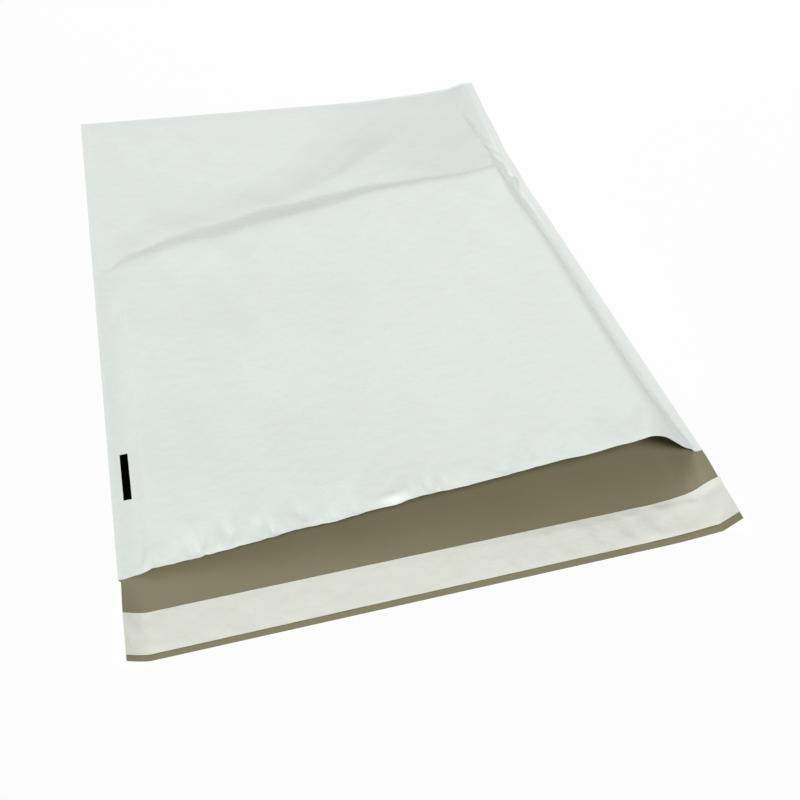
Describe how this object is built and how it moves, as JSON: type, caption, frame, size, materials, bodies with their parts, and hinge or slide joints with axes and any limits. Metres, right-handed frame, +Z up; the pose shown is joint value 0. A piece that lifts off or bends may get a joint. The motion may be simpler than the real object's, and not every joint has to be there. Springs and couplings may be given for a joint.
{
  "type": "poly mailer bag",
  "caption": "White film mailing bag lying with its mouth open as a wedge, a lip with a covered adhesive band, welded sides and a creased, tented closed end.",
  "frame": {"origin": "middle of the bag's box, on the surface that the back panel lies on", "axes": "+X across the bag towards its high side, +Y along the bag to the closed end, so the mouth opens to -Y, +Z up"},
  "size_m": [0.301, 0.438, 0.034],
  "materials": {
    "film": "satin",
    "adhesive": "glossy",
    "liner": "glossy",
    "ink": "matte"
  },
  "bodies": {
    "root": {"film_envelope": "film", "adhesive_strip": "adhesive", "release_liner": "liner", "registration_mark": "ink"}
  },
  "joints": []
}
